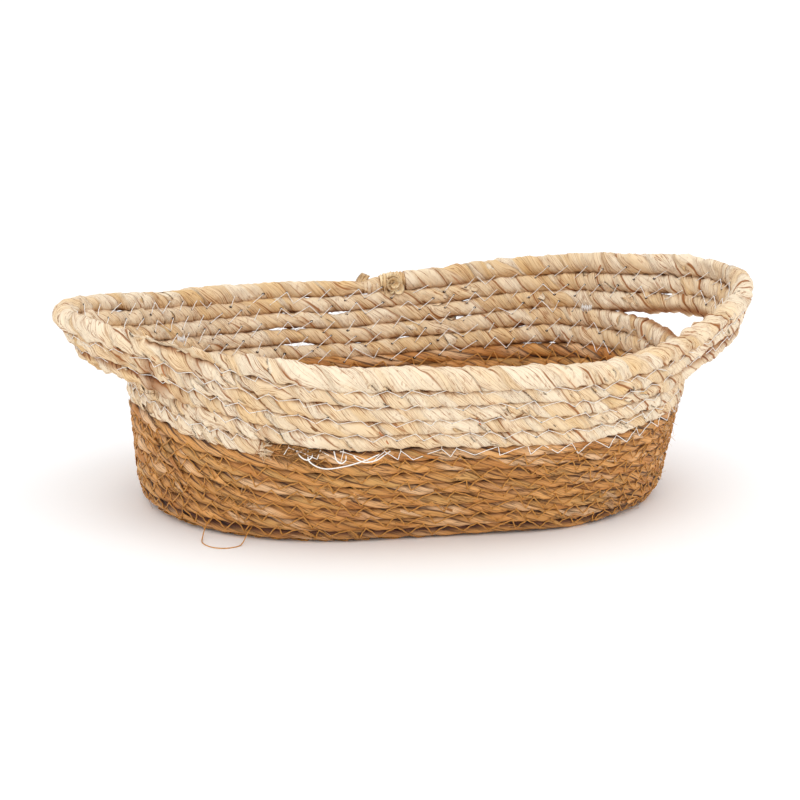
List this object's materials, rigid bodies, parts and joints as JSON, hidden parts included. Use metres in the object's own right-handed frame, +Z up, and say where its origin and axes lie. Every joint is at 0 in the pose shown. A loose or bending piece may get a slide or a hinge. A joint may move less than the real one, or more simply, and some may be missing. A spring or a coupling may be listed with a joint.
{
  "type": "oval basket",
  "caption": "Oval coiled basket of grass rope sewn row to row, pale wrapped rope at the top, with a bowed handle at each end.",
  "frame": {"origin": "middle of the basket's outline, on the ground it stands on, with the loose loop of thread left out", "axes": "+X to the right handle, +Y to the back where the rim's binding is, +Z up"},
  "size_m": [0.504, 0.3674, 0.1585],
  "materials": {
    "seagrass": "dry twisted grass, dull with a faint sheen",
    "corn_husk": "dry husk strip wound on rope, dull with a faint sheen",
    "golden_husk_strip": "dry husk strip, slightly shiny",
    "white_thread": "twisted plastic thread, slightly shiny",
    "brown_thread": "twisted plastic thread, slightly shiny"
  },
  "bodies": {
    "root": {"floor_coil": "seagrass", "seagrass_wall_coil": "seagrass", "husk_wall_coil": "corn_husk", "handle_band_coil": "corn_husk", "rim_rope": "corn_husk", "rim_binding": "golden_husk_strip", "rim_binding_curl": "golden_husk_strip", "seagrass_seam_thread": "brown_thread", "husk_seam_thread_lower": "white_thread", "husk_seam_thread_back": "white_thread", "husk_seam_thread_upper": "white_thread", "handle_tack_left_front": "white_thread", "handle_tack_left_back": "white_thread", "handle_tack_right_back": "white_thread", "handle_tack_right_front": "white_thread", "loose_thread_loop": "brown_thread"}
  },
  "joints": []
}
